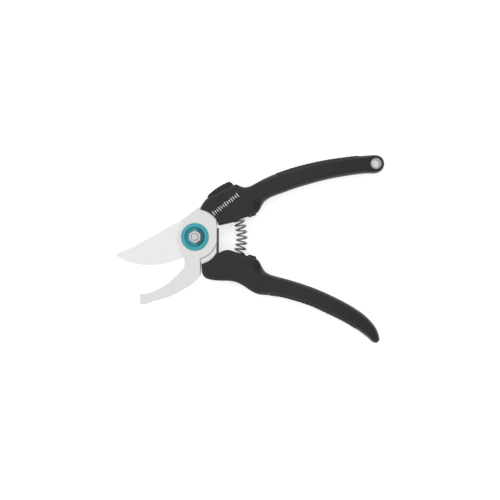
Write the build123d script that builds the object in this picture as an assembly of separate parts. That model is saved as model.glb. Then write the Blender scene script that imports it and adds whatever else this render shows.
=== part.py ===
"""Bypass pruner (secateurs) with two-shell handles, a bolted pivot, an arc spring and a thumb lock.

Frame: the pivot axis is Z, and the flat end of the pivot bolt's head lies at the origin, on the
plane that the tool rests on. X runs from the pivot towards the grips, midway between the two
handle blocks. Y is the way the handles open. The side with the coloured pivot ring faces +Z.
The model stands open, as the return spring leaves it. All sizes are in millimetres.
"""

from build123d import *
from math import cos, degrees, radians, sin
import os

# Overall
CLOSING_ANGLE = 37.0  # the upper half turns this far, clockwise, from open to closed
MID_Z = 9.0  # the plane between the two plates, and between the shells
BLOCK_HALF = 9.0  # half the thickness of a handle's block
GRIP_HALF = 8.0  # half the thickness of a handle's grip
SHEAR_GAP = 0.05  # each plate stands this far off MID_Z
SEAM = 0.02  # each shell stands this far off MID_Z
FIT = 0.15  # room round a piece that is seated in another
SLIDE_ROOM = 0.3  # room round a piece that moves past another
PAST = 1.0  # cutting tools reach this far past the faces they open

# Plates
BLADE_THICK = 3.35
HOOK_THICK = 3.6
BLADE_TOP = MID_Z - SHEAR_GAP
BLADE_BOTTOM = BLADE_TOP - BLADE_THICK
HOOK_BOTTOM = MID_Z + SHEAR_GAP
HOOK_TOP = HOOK_BOTTOM + HOOK_THICK
BLADE_HEAD_R = 16.0
HOOK_HEAD_R = 13.0
HOOK_HEEL_R = 16.3  # the hook's head is wider than HOOK_HEAD_R between its neck and its tang
HOOK_REAR_X = 15.8  # straight rear edge of the hook plate
BLADE_REAR_X = 17.2  # straight rear edge of the blade plate
BEVEL_WIDE = 6.5
BEVEL_PAST = 0.5  # the grinding wedge starts this far below the blade
EDGE_LEFT = 0.35  # thickness left at the cutting edge
RIM_CHAMFER = 0.4
TANG_ROUND = 1.2

# Pivot stack, from the rear: hexagonal head, flange, washer, blade, hook, ring, nut
SHANK_R = 4.0
SHANK_CLEARANCE = 0.05
FLAT_DEPTH = 0.6  # depth of the two flats that key the bolt in the hook plate
THREAD_R = 2.5
HEAD_FLATS = 10.0
HEAD_HIGH = 2.6
HEAD_CHAMFER = 0.5
FLANGE_R = 8.5
FLANGE_TOP = 4.8
FLANGE_ROUND = 1.2
WASHER_R = 8.0
RING_R = 10.0
RING_HIGH = 3.3
RING_FLOOR = 1.0
RING_ROUND = 1.2
RECESS_R = 6.8
RECESS_SLOPE = 0.6
NUT_FLATS = 8.0
NUT_TOP = 17.2
BOLT_END = 17.6
THREAD_CHAMFER = 0.4  # on the nut's corners and the bolt's end

# Return spring, which lies on an arc about the pivot
SPRING_R = 33.8
COIL_R = 3.65
WIRE_R = 0.7
TURNS = 13
SPRING_UP = 36.5  # degrees from the X axis to each end of the coil
SPRING_DOWN = -34.5
POCKET_R = 5.0
POCKET_ARC = 26.0  # degrees from a pocket's bottom to past the block's face
SEAT_R = 4.85
SEAT_THICK = 1.2
PILOT_R = 2.5
PILOT_LONG = 3.0
HALF_WIRE = degrees(WIRE_R / (SPRING_R - COIL_R))  # what the end turn takes up of the arc
SEAT_ARC = degrees(SEAT_THICK / SPRING_R)

# Lock slide: SLIDE_ANGLE is the way the button runs, up the slope of the upper block.
# Along the slide line is "along", and square to it, away from the pivot, is "height".
SLIDE_ANGLE = 27.0
SLIDE_TRAVEL = 4.0
BED_H = 20.6  # height of the bed that the button runs on
BUTTON_FRONT, BUTTON_REAR = 21.8, 41.6
BUTTON_HALF_WIDE = 5.5
CROWN = [(21.8, 22.2), (26.0, 23.2), (33.0, 24.1), (39.0, 23.5), (41.6, 22.0)]
GROOVES = 5  # across the crown, for the thumb
GROOVE_START = (26.4, 24.9)
GROOVE_PITCH = 2.4
GROOVE_R = 1.1
BOLT_LOW, BOLT_HIGH = 9.5, 12.5
BOLT_TIP = 13.4
LEG_START, LEG_END = 27.0, 31.5
LEG_TOP = 22.6
LOCK_Z0, LOCK_Z1 = 5.9, 8.7
LOCK_PIN_R = 0.9
LOCK_PIN_AT = (29.25, 21.8)
LOCK_PIN_Z0, LOCK_PIN_Z1 = 4.6, 10.4
DETENT_AT = 24.0  # the groove in the bolt's underside, along the slide line
DETENT_GROOVE_R = 0.9
DETENT_WIRE_R = 0.35
DETENT_PATH = [(19.6, 8.25), (22.6, 8.55), (24.0, 9.25), (25.4, 8.55), (28.4, 8.25)]
DETENT_BEND = 0.5
DETENT_ROOM = (19.0, 29.0)
DETENT_ROOM_DEEP = 1.8

# Handles
FRONT_R = 20.0  # the handles' front ends are arcs about the pivot
EYE = (129.9, 52.6)
EYE_R = 6.4
HANG_HOLE_R = 2.75
EYELET_R = 3.5
EYELET_RIM_R = 4.4
EYELET_RIM = 0.4
RIM_ROUND = 1.5
BLOCK_END_X = 49.0  # the thick block gives way to the thinner grip here
HANDLE_REACH = 200.0  # more than a handle's extent either way
PAD_DEEP = 1.3  # thickness of the soft pads let into the outer edges
PAD_HALF = 5.0
PAD_REACH = 45.0  # half the length of the window that picks out a pad
PAD_CLEAR = 40.0
UPPER_PAD_X = (58.0, 118.0)
LOWER_PAD_X = (54.0, 116.0)

# Buffers that the handles meet on when the tool is closed
BUFFER_LONG = 6.0
BUFFER_DEEP = 3.4
BUFFER_PROUD = 0.6
BUFFER_HALF = 4.0
BUFFER_ROUND = 0.8
UPPER_BUFFER = (41.2, 15.35, 20.0)  # x, y and slope
LOWER_BUFFER = (41.2, -13.9, -16.0)

# Shell screws: the first three of each handle also pass through its tang
SCREW_R = 1.75
SCREW_HEAD_R = 3.2
SCREW_HEAD_DEEP = 2.4
SCREW_HEAD_Z = 3.0
SCREW_HEAD_ROUND = 0.8
SCREW_TOP_Z = 15.2
SCREW_SPARE = 0.5  # depth of the hole beyond the screw's end
CROSS_SLOT = (3.6, 0.8, 1.2)  # length, width and depth of each arm of the cross recess
UPPER_SCREWS = [(10.4, 22.2), (40.0, 31.4), (62.0, 38.9), (104.0, 50.8)]
LOWER_SCREWS = [(9.6, -22.3), (39.0, -30.6), (60.0, -35.8), (104.0, -52.6)]
TANG_SCREWS = 3


def on_slide(along, height):
    """A point at a distance along the lock's slide line and a height above it."""
    a = radians(SLIDE_ANGLE)
    return (along * cos(a) - height * sin(a), along * sin(a) + height * cos(a))


def on_circle(radius, angle):
    """A point on a circle about the pivot, at an angle in degrees."""
    return (radius * cos(radians(angle)), radius * sin(radians(angle)))


def slab(face, z0, z1):
    """The face, drawn at z 0, as a plate from z0 to z1."""
    return extrude(Pos(0, 0, z0) * face, z1 - z0)


def face_of(*lines):
    """A face inside the closed loop of lines."""
    return make_face(Wire([edge for line in lines for edge in line.edges()]))


def disc(radius, z0, z1, at=(0, 0)):
    """A round plate from z0 to z1."""
    return slab(Pos(*at) * Circle(radius), z0, z1)


def slide_box(along, heights, z0, z1):
    """A block between two distances along the slide line and two heights above it."""
    (a0, a1), (h0, h1) = along, heights
    corners = [on_slide(a0, h0), on_slide(a1, h0), on_slide(a1, h1), on_slide(a0, h1)]
    return slab(make_face(Polyline(*corners, close=True)), z0, z1)


def arc_rod(radius, start, end):
    """A round rod on the spring's arc about the pivot, between two angles in degrees."""
    section = Plane.XZ * Pos(SPRING_R, MID_Z) * Circle(radius)
    return Rot(0, 0, start) * revolve(section, Axis.Z, end - start)


# Outlines

def upper_outline():
    """Outline of the upper handle: front arc, hump, lobe, grip, eye, back and button bed."""
    arc_end, arc_start = on_circle(FRONT_R, 38), on_circle(FRONT_R, 79)
    front = ThreePointArc(arc_start, on_circle(FRONT_R, 58), arc_end)
    corner = Line(arc_end, (16.9, 8.1))
    inner = Spline(
        corner @ 1, (23.4, 9.5), (28.4, 10.9), (34.5, 13.3), (41.4, 15.5), (45.6, 18.2),
        (48.6, 24.0), (54.6, 29.0), (63.0, 32.3), (84.6, 39.4), (106.2, 44.4),
        (EYE[0] - 0.6, EYE[1] - EYE_R),
    )
    eye = ThreePointArc(inner @ 1, (EYE[0] + EYE_R, EYE[1]), (EYE[0], EYE[1] + EYE_R))
    back = Spline(
        eye @ 1, (106.2, 57.4), (91.8, 55.2), (77.4, 51.8), (66.6, 48.6), (55.8, 44.6),
        (46.2, 40.2), (37.4, 36.1),
    )
    bed_rear, bed_front = on_slide(42.2, BED_H), on_slide(20.4, BED_H)
    heel = Line(back @ 1, bed_rear)
    bed = Line(bed_rear, bed_front)
    nose = Spline(bed_front, (6.8, 25.3), arc_start)
    return face_of(front, corner, inner, eye, back, heel, bed, nose)


def lower_outline():
    """Outline of the lower handle: front arc, hump, lobe, grip, pointed tail and belly."""
    arc_end, arc_start = on_circle(FRONT_R, -36), on_circle(FRONT_R, -76)
    front = ThreePointArc(arc_start, on_circle(FRONT_R, -56), arc_end)
    inner = Spline(
        arc_end, (23.4, -9.6), (28.4, -10.4), (34.5, -12.0), (41.4, -14.0),
        (45.6, -16.6), (48.6, -22.0), (54.0, -26.8), (63.0, -29.9), (77.4, -34.2),
        (91.8, -39.4), (106.2, -46.4), (120.6, -55.7), (128.4, -63.4), (133.0, -74.0),
    )
    tail = ThreePointArc(inner @ 1, (132.6, -75.9), (130.6, -76.4))
    belly = Spline(
        tail @ 1, (124.2, -71.9), (109.8, -62.7), (95.4, -55.3), (81.0, -49.0),
        (66.6, -44.6), (50.0, -41.7), (41.4, -39.2), (31.0, -33.6), (20.0, -31.95),
        (10.8, -30.95), (5.4, -26.7), arc_start,
    )
    return face_of(front, inner, tail, belly)


def upper_tang():
    """The hook plate's tang: left edge in line with the head, then along the handle."""
    return make_face(FilletPolyline(
        (-9.4, 12.6), (1.8, 20.8), (7.6, 24.0), (16.0, 27.4), (24.0, 30.2), (34.0, 33.2),
        (47.0, 37.2), (60.0, 42.0), (68.0, 45.2), (70.2, 38.6), (60.0, 34.8), (46.0, 30.2),
        (33.0, 28.1), (21.0, 21.6), (HOOK_REAR_X, 15.0), (HOOK_REAR_X, -3.0), (0, 0),
        radius=TANG_ROUND, close=True,
    ))


def lower_tang():
    """The blade's tang, down past the spring pocket and along the lower handle."""
    return make_face(FilletPolyline(
        (-9.4, -12.6), (3.0, -20.6), (9.0, -25.4), (17.0, -27.8), (27.0, -28.8),
        (36.0, -33.4), (46.0, -36.8), (58.0, -39.8), (67.6, -41.8), (69.2, -34.6),
        (58.0, -32.0), (46.0, -29.2), (36.0, -26.6), (26.0, -23.4), (20.0, -19.8),
        (BLADE_REAR_X, -14.4), (BLADE_REAR_X, 8.0), (0, 0),
        radius=TANG_ROUND, close=True,
    ))


def hook_jaw():
    """The hook: slender, hollow inside, with a blunt square tip."""
    inner = Spline(
        (-7.4, -17.0), (-8.2, -22.0), (-13.0, -27.6), (-18.6, -32.5), (-24.6, -36.5),
        (-31.8, -39.8), (-37.0, -41.0),
    )
    tip = Polyline(inner @ 1, (-39.6, -41.0), (-40.0, -48.2), (-34.8, -48.6))
    outer = Spline(
        tip @ 1, (-30.4, -46.6), (-23.4, -44.8), (-15.0, -41.6), (-7.0, -37.2),
        (0.6, -31.8), (4.0, -27.0),
    )
    neck = Polyline(outer @ 1, (4.2, -20.6), (3.0, 0), (-12.3, -4.0), inner @ 0)
    return face_of(inner, tip, outer, neck)


def blade_edge():
    """The convex cutting edge, from the tip to the heel."""
    return Spline(
        (-57.4, -12.9), (-52.2, -16.3), (-45.0, -18.9), (-37.0, -20.2), (-27.0, -20.0),
        (-19.6, -18.9), (-12.6, -16.4), (-6.0, -14.2),
    )


def blade_jaw():
    """The blade from its head to its point."""
    spine = Spline(
        (-11.0, 11.0), (-16.2, 8.9), (-27.0, 2.8), (-41.4, -5.3), (-47.4, -8.3),
        (-52.2, -10.0), (-57.4, -12.9),
    )
    edge = blade_edge()
    heel = Polyline(edge @ 1, (0, 0), spine @ 0)
    return face_of(spine, edge, heel)


# Plates

def lock_notch(turned):
    """The notch that the lock's bolt enters in the blade's head, turned about the pivot."""
    bottom = BOLT_TIP - SLIDE_TRAVEL - SLIDE_ROOM
    notch = slide_box(
        (bottom, BLADE_HEAD_R + BOLT_HIGH), (BOLT_LOW - SLIDE_ROOM, BOLT_HIGH + SLIDE_ROOM),
        BLADE_BOTTOM - PAST, BLADE_TOP + PAST,
    )
    return Rot(0, 0, turned) * notch


def bevel_cutter():
    """The wedge ground off the blade's rear face behind its cutting edge."""
    stations = [0, 0.2, 0.4, 0.6, 0.8, 0.93]  # shares of the edge's length, tip to heel
    heel_x, tip_x, below = -6.0, -60.0, -26.0  # corners clear of the blade
    edge = blade_edge()

    def wedge_face(shift, z):
        points = [edge @ t + Vector(0, shift, 0) for t in stations]
        past_tip = (tip_x, points[0].Y)
        back = Polyline(points[-1], (heel_x, below), (tip_x, below), past_tip, points[0])
        return Pos(0, 0, z) * face_of(Spline(*points), back)

    slope = BEVEL_WIDE / (BLADE_THICK - EDGE_LEFT)
    low = wedge_face(BEVEL_WIDE + BEVEL_PAST * slope, BLADE_BOTTOM - BEVEL_PAST)
    high = wedge_face(0, BLADE_TOP - EDGE_LEFT)
    return loft([low, high], ruled=True)


def cutting_blade():
    """Blade plate with its ground bevel on the far side, tang, bore and two lock notches."""
    plate = Circle(BLADE_HEAD_R) + blade_jaw() + lower_tang()
    plate -= [Pos(*at) * Circle(SCREW_R + FIT) for at in LOWER_SCREWS[:TANG_SCREWS]]
    body = slab(plate, BLADE_BOTTOM, BLADE_TOP)
    body -= disc(SHANK_R + SHANK_CLEARANCE, BLADE_BOTTOM - PAST, BLADE_TOP + PAST)
    body -= [lock_notch(0), lock_notch(-CLOSING_ANGLE)]
    return body - bevel_cutter()


def keyed_shank(room):
    """Round section with two flats, which the bolt and the hook plate's hole share."""
    across = 2 * (SHANK_R - FLAT_DEPTH + room)
    return Circle(SHANK_R + room) & Rectangle(3 * SHANK_R, across)


def hook_blade():
    """Hook plate with its head, tang, keyed pivot hole and screw holes."""
    quarter = Rectangle(HOOK_REAR_X, HOOK_HEEL_R, align=(Align.MIN, Align.MAX))
    heel = Circle(HOOK_HEEL_R) & quarter
    plate = Circle(HOOK_HEAD_R) + heel + hook_jaw() + upper_tang()
    body = slab(plate, HOOK_BOTTOM, HOOK_TOP)
    body = chamfer(body.faces().sort_by(Axis.Z)[-1].outer_wire().edges(), RIM_CHAMFER)
    body -= [
        disc(SCREW_R + FIT, HOOK_BOTTOM - PAST, HOOK_TOP + PAST, at)
        for at in UPPER_SCREWS[:TANG_SCREWS]
    ]
    return body - slab(keyed_shank(SHANK_CLEARANCE), HOOK_BOTTOM - PAST, HOOK_TOP + PAST)


# Pivot stack

def pivot_bolt():
    """Bolt with a hexagonal head and flange at the rear, a keyed shank and a threaded end."""
    head = slab(RegularPolygon(HEAD_FLATS / 2, 6, major_radius=False), 0, HEAD_HIGH)
    head = chamfer(head.faces().sort_by(Axis.Z)[0].edges(), HEAD_CHAMFER)
    flange = disc(FLANGE_R, HEAD_HIGH, FLANGE_TOP)
    flange = fillet(flange.edges().group_by(Axis.Z)[0], FLANGE_ROUND)
    shank = disc(SHANK_R, FLANGE_TOP, HOOK_BOTTOM)
    keyed = slab(keyed_shank(0), HOOK_BOTTOM, HOOK_TOP)
    thread = disc(THREAD_R, HOOK_TOP, BOLT_END)
    thread = chamfer(thread.edges().group_by(Axis.Z)[-1], THREAD_CHAMFER)
    return head + flange + shank + keyed + thread


def blade_washer():
    """Thin bronze washer between the bolt's flange and the blade."""
    bore = disc(SHANK_R + FIT, FLANGE_TOP - PAST, BLADE_BOTTOM + PAST)
    return disc(WASHER_R, FLANGE_TOP, BLADE_BOTTOM) - bore


def pivot_ring():
    """Coloured cup round the nut: rounded rim, recess with a sloping wall, and a floor."""
    top = HOOK_TOP + RING_HIGH
    ring = disc(RING_R, HOOK_TOP, top)
    ring = fillet(ring.edges().group_by(Axis.Z)[-1], RING_ROUND)
    recess = disc(RECESS_R, HOOK_TOP + RING_FLOOR, top + PAST)
    ring -= [recess, disc(THREAD_R + FIT, HOOK_TOP - PAST, top)]
    rim = ring.edges().filter_by(GeomType.CIRCLE).group_by(Axis.Z)[-1].sort_by(SortBy.RADIUS)[0]
    return chamfer(rim, RECESS_SLOPE)


def pivot_nut():
    """Hexagonal nut, corners up and down, standing proud of the ring."""
    bottom = HOOK_TOP + RING_FLOOR
    nut = slab(RegularPolygon(NUT_FLATS / 2, 6, major_radius=False, rotation=30), bottom, NUT_TOP)
    nut = chamfer(nut.faces().sort_by(Axis.Z)[-1].edges(), THREAD_CHAMFER)
    return nut - disc(THREAD_R, bottom - PAST, NUT_TOP + PAST)


# Return spring and its seats

def return_spring():
    """The coil, drawn as closed turns spaced evenly along the arc."""
    ring = Pos(SPRING_R, 0, MID_Z) * Rot(90, 0, 0) * Torus(COIL_R, WIRE_R)
    step = (SPRING_UP - SPRING_DOWN) / (TURNS - 1)
    return Compound([Rot(0, 0, SPRING_DOWN + i * step) * ring for i in range(TURNS)])


def spring_seat(coil_end, outward):
    """Disc that closes a pocket's bottom, with a pilot inside the coil."""
    pilot = degrees(PILOT_LONG / SPRING_R)
    face = coil_end + outward * HALF_WIRE
    plate = arc_rod(SEAT_R, *sorted((face, face + outward * SEAT_ARC)))
    peg = arc_rod(PILOT_R, *sorted((face - outward * pilot, face + outward * SEAT_ARC / 2)))
    return plate + peg


def spring_pocket(coil_end, outward):
    """The room for one end of the coil and its seat, open towards the other handle."""
    bottom = coil_end + outward * (HALF_WIRE + SEAT_ARC)
    return arc_rod(POCKET_R, *sorted((bottom - outward * POCKET_ARC, bottom)))


# Lock

def lock_button():
    """Thumb button on the bed: low front, ridged crown, and a slot for the bolt's leg."""
    crown = Spline(*[on_slide(*at) for at in CROWN])
    clear = BED_H + FIT
    foot = Polyline(
        crown @ 1, on_slide(BUTTON_REAR, clear), on_slide(BUTTON_FRONT, clear), crown @ 0
    )
    button = slab(face_of(crown, foot), MID_Z - BUTTON_HALF_WIDE, MID_Z + BUTTON_HALF_WIDE)
    along, height = GROOVE_START
    for i in range(GROOVES):
        button -= disc(GROOVE_R, 0, 2 * MID_Z, on_slide(along + i * GROOVE_PITCH, height))
    return button - [lock_bolt(), lock_pin()]


def lock_bolt():
    """Flat steel bolt: bar towards the blade's head, and a leg up into the button."""
    bar = slide_box((BOLT_TIP, LEG_END), (BOLT_LOW, BOLT_HIGH), LOCK_Z0, LOCK_Z1)
    leg = slide_box((LEG_START, LEG_END), (BOLT_LOW, LEG_TOP), LOCK_Z0, LOCK_Z1)
    at = on_slide(DETENT_AT, BOLT_LOW - SLIDE_ROOM)
    groove = disc(DETENT_GROOVE_R, LOCK_Z0 - PAST, LOCK_Z1 + PAST, at)
    return bar + leg - [lock_pin(), groove]


def lock_pin():
    """Cross pin that holds the button to the bolt's leg."""
    return disc(LOCK_PIN_R, LOCK_PIN_Z0, LOCK_PIN_Z1, on_slide(*LOCK_PIN_AT))


def detent_spring():
    """Bent wire that lies beside the bolt, with its bump in the bolt's groove."""
    path = FilletPolyline(*[on_slide(*at) for at in DETENT_PATH], radius=DETENT_BEND)
    wire = Plane(path @ 0, z_dir=path % 0) * Circle(DETENT_WIRE_R)
    return Pos(0, 0, (LOCK_Z0 + LOCK_Z1) / 2) * sweep(wire, path)


def lock_room():
    """Channel for the bolt, its leg and the detent spring in the upper handle."""
    low, high = LOCK_Z0 - FIT, MID_Z + SEAM
    heights = (BOLT_LOW - FIT, BOLT_HIGH + FIT)
    rear = LEG_END + SLIDE_ROOM
    bar = slide_box((BOLT_TIP - SLIDE_TRAVEL, rear), heights, low, high)
    leg_front = LEG_START - SLIDE_TRAVEL - SLIDE_ROOM
    leg = slide_box((leg_front, rear), (BOLT_LOW, LEG_TOP + PAST), low, high)
    side = slide_box(DETENT_ROOM, (BOLT_LOW - DETENT_ROOM_DEEP, BOLT_LOW), low, high)
    return bar + leg + side


# Handles

def pad(outline, ends, side):
    """Soft pad let into a grip's outer edge: what the outline, shifted inwards, leaves bare."""
    strip = outline - Pos(0, -side * PAD_DEEP) * outline
    window = Rectangle(ends[1] - ends[0], 2 * PAD_REACH)
    window = Pos((ends[0] + ends[1]) / 2, side * (PAD_REACH + PAD_CLEAR)) * window
    return slab(strip & window, MID_Z - PAD_HALF, MID_Z + PAD_HALF)


def upper_pad():
    """Pad along the back of the upper grip."""
    return pad(upper_outline(), UPPER_PAD_X, 1)


def lower_pad():
    """Pad along the belly of the lower grip."""
    return pad(lower_outline(), LOWER_PAD_X, -1)


def rounded_half(outline, x_from, x_to, half):
    """A stretch of a handle's front half, its outer rim rounded except where the grip starts."""
    middle = (x_from + x_to) / 2
    window = Pos(middle, 0) * Rectangle(x_to - x_from, HANDLE_REACH)
    piece = slab(outline & window, MID_Z + SEAM, MID_Z + half)
    rim = piece.faces().sort_by(Axis.Z)[-1].edges()
    if x_from == BLOCK_END_X:
        rim = rim.filter_by(lambda edge: abs(edge.center().X - BLOCK_END_X) > SEAM)
    return fillet(rim, RIM_ROUND)


def half_handle(outline, front):
    """One half of a handle: a thick block, then a thinner grip."""
    block = rounded_half(outline, 0, BLOCK_END_X, BLOCK_HALF)
    grip = rounded_half(outline, BLOCK_END_X, HANDLE_REACH, GRIP_HALF)
    body = block + grip
    return body if front else body.mirror(Plane.XY.offset(MID_Z))


def screw(at):
    """Pan-head screw from the rear, with a cross recess."""
    top = SCREW_HEAD_Z + SCREW_HEAD_DEEP
    head = disc(SCREW_HEAD_R, SCREW_HEAD_Z, top, at)
    head = fillet(head.edges().group_by(Axis.Z)[0], SCREW_HEAD_ROUND)
    long, wide, deep = CROSS_SLOT
    for turn in (0, 90):
        arm = Pos(*at) * Rot(0, 0, turn) * Rectangle(long, wide)
        head -= slab(arm, SCREW_HEAD_Z - PAST, SCREW_HEAD_Z + deep)
    return head + disc(SCREW_R, top, SCREW_TOP_Z, at)


def screw_rooms(points):
    """Counterbores at the rear and holes for the shanks."""
    top = SCREW_HEAD_Z + SCREW_HEAD_DEEP
    bores = [disc(SCREW_HEAD_R + FIT, -PAST, top, at) for at in points]
    return bores + [disc(SCREW_R, top - PAST, SCREW_TOP_Z + SCREW_SPARE, at) for at in points]


def buffer(place):
    """Rubber block let into a lobe, standing a little proud of it."""
    x, y, slope = place
    side = 1 if y < 0 else -1
    middle = Rot(0, 0, slope) * Pos(0, side * (BUFFER_PROUD - BUFFER_DEEP / 2))
    face = Pos(x, y) * middle * RectangleRounded(BUFFER_LONG, BUFFER_DEEP, BUFFER_ROUND)
    return slab(face, MID_Z - BUFFER_HALF, MID_Z + BUFFER_HALF)


def eyelet():
    """Tubular rivet through the hanging hole, with a thin rim on each face."""
    low, high = MID_Z - GRIP_HALF, MID_Z + GRIP_HALF
    tube = disc(EYELET_R, low + EYELET_RIM, high - EYELET_RIM, EYE)
    tube += [
        disc(EYELET_RIM_R, low, low + EYELET_RIM, EYE),
        disc(EYELET_RIM_R, high - EYELET_RIM, high, EYE),
    ]
    return tube - disc(HANG_HOLE_R, low - PAST, high + PAST, EYE)


def eyelet_room():
    """The hole that the eyelet fills."""
    low, high = MID_Z - GRIP_HALF, MID_Z + GRIP_HALF
    return [
        disc(EYELET_R, low - PAST, high + PAST, EYE),
        disc(EYELET_RIM_R, low - PAST, low + EYELET_RIM, EYE),
        disc(EYELET_RIM_R, high - EYELET_RIM, high + PAST, EYE),
    ]


def upper_shell(front):
    """Front or rear shell of the upper handle."""
    rooms = screw_rooms(UPPER_SCREWS) + eyelet_room()
    rooms += [
        slab(upper_tang(), HOOK_BOTTOM - 2 * SHEAR_GAP, HOOK_TOP), lock_room(),
        spring_pocket(SPRING_UP, 1), buffer(UPPER_BUFFER), upper_pad(),
    ]
    return half_handle(upper_outline(), front) - rooms


def lower_shell(front):
    """Front or rear shell of the lower handle."""
    rooms = screw_rooms(LOWER_SCREWS)
    rooms += [
        slab(lower_tang(), BLADE_BOTTOM, BLADE_TOP + 2 * SHEAR_GAP),
        spring_pocket(SPRING_DOWN, -1), buffer(LOWER_BUFFER), lower_pad(),
    ]
    return half_handle(lower_outline(), front) - rooms


def main():
    """Write one STEP file for each piece."""
    os.makedirs("parts", exist_ok=True)
    nodes = {
        "cutting_blade": cutting_blade(),
        "hook_blade": hook_blade(),
        "pivot_bolt": pivot_bolt(),
        "blade_washer": blade_washer(),
        "pivot_ring": pivot_ring(),
        "pivot_nut": pivot_nut(),
        "upper_front_shell": upper_shell(True),
        "upper_rear_shell": upper_shell(False),
        "upper_shell_screws": Compound([screw(at) for at in UPPER_SCREWS]),
        "upper_grip_pad": upper_pad(),
        "upper_buffer": buffer(UPPER_BUFFER),
        "upper_spring_seat": spring_seat(SPRING_UP, 1),
        "hanging_eyelet": eyelet(),
        "lower_front_shell": lower_shell(True),
        "lower_rear_shell": lower_shell(False),
        "lower_shell_screws": Compound([screw(at) for at in LOWER_SCREWS]),
        "lower_grip_pad": lower_pad(),
        "lower_buffer": buffer(LOWER_BUFFER),
        "lower_spring_seat": spring_seat(SPRING_DOWN, -1),
        "return_spring": return_spring(),
        "lock_button": lock_button(),
        "lock_bolt": lock_bolt(),
        "lock_pin": lock_pin(),
        "lock_detent_spring": detent_spring(),
    }
    for name, shape in nodes.items():
        export_step(shape, f"parts/{name}.step")


main()
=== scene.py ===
# %% [markdown]
# # A bypass pruner, built around its CAD frame
#
# The CAD model holds every moving and fitting part at its true size. This lesson loads it as a fixed
# frame, keeps the parts whose shape is already right, and replaces the moulded and turned ones with
# surfaces that are worked out with numpy. Lengths are in metres, in the frame of the CAD model: X runs
# from the pivot to the grips, Y is the way the handles open, and Z is the pivot axis.

# %% Load the frame
import bpy
import numpy as np
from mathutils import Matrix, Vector


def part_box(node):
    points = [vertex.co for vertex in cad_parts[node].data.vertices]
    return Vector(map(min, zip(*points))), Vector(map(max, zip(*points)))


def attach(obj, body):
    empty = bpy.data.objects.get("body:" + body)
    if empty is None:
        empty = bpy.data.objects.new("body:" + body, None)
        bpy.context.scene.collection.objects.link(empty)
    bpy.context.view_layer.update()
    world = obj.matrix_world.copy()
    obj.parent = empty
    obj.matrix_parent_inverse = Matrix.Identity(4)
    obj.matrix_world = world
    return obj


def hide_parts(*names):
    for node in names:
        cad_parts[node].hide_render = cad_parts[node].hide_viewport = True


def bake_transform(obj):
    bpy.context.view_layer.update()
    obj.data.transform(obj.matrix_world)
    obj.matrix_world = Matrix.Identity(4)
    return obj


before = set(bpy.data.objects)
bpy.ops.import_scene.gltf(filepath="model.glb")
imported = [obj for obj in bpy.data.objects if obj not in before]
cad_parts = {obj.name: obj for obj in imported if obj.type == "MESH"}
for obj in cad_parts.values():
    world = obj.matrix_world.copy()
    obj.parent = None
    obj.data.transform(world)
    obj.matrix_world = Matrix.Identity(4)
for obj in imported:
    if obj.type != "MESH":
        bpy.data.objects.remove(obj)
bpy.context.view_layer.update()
MM = 0.001

# %% [markdown]
# A few sizes drive the whole scene. They are read from the CAD nodes' boxes, so a change to the CAD
# model moves the new pieces with it.

# %% Sizes that the frame gives
HOOK_LOW, HOOK_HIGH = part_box("hook_blade")
BLADE_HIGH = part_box("cutting_blade")[1]
FRONT_LOW, FRONT_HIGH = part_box("upper_front_shell")
MID_Z = (HOOK_LOW[2] + BLADE_HIGH[2]) / 2
BLOCK_HALF = FRONT_HIGH[2] - MID_Z
SEAM = FRONT_LOW[2] - MID_Z
PLATE_TOP = HOOK_HIGH[2]
print(f"middle plane {MID_Z / MM:.2f} mm, block half {BLOCK_HALF / MM:.2f} mm, seam {SEAM / MM:.3f} mm")

# %% [markdown]
# ## Mesh helpers
#
# A surface here is a grid of points that numpy computes as a whole array. A closed piece is either two
# sheets joined along their rims, a profile turned about an axis, or a ring carried along a path. Faces
# must point outwards, so each builder measures the enclosed volume and turns the faces over if it is
# negative.

# %% Grids, fans and the mesh object


def grid_quads(rows, columns, wrap_rows=False, wrap_columns=False):
    """Corner indices of every cell in a grid of points numbered row by row, as an (n, 4) array."""
    index = np.arange(rows * columns).reshape(rows, columns)
    if wrap_rows:
        index = np.vstack([index, index[:1]])
    if wrap_columns:
        index = np.hstack([index, index[:, :1]])
    corners = [index[:-1, :-1], index[1:, :-1], index[1:, 1:], index[:-1, 1:]]
    return np.stack([c.ravel() for c in corners], axis=1)


def pole_fans(rows, columns):
    """Triangles that close a tube of rows by columns points at two poles, numbered right after it.
    They run the same way round as the tube's own cells."""
    around = np.arange(columns)
    after, last = np.roll(around, -1), (rows - 1) * columns
    first_pole = np.full(columns, rows * columns)
    low = np.stack([around, after, first_pole], axis=1)
    high = np.stack([last + after, last + around, first_pole + 1], axis=1)
    return np.vstack([low, high])


def signed_volume(points, faces):
    """Volume inside closed faces: the sum of tetrahedra from the origin, by a fan in each face."""
    total = 0.0
    for size in {len(f) for f in faces}:
        same = np.array([f for f in faces if len(f) == size])
        first = points[same[:, 0]]
        for k in range(1, size - 1):
            second, third = points[same[:, k]], points[same[:, k + 1]]
            total += np.einsum("ij,ij->i", first, np.cross(second, third)).sum() / 6
    return total


def new_piece(name, points, faces, smooth_angle=40.0):
    """A mesh object at the origin from points and faces, turned outwards and shaded smooth."""
    points = np.asarray(points, float).reshape(-1, 3)
    faces = [tuple(int(i) for i in f) for f in faces]
    if signed_volume(points, faces) < 0:
        faces = [f[::-1] for f in faces]
    mesh = bpy.data.meshes.new(name)
    mesh.from_pydata(points.tolist(), [], faces)
    mesh.update()
    mesh.validate()
    piece = bpy.data.objects.new(name, mesh)
    bpy.context.scene.collection.objects.link(piece)
    mesh.shade_smooth()
    mesh.set_sharp_from_angle(angle=np.radians(smooth_angle))
    return piece


# %% [markdown]
# Moulded and pressed pieces are two sheets with a wall between them. The wall runs along the sheets'
# rims, and its cells go the same way round as theirs, because one strip of turned-over faces is enough
# to spoil the shading and the Booleans.

# %% Two sheets and their wall


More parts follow.
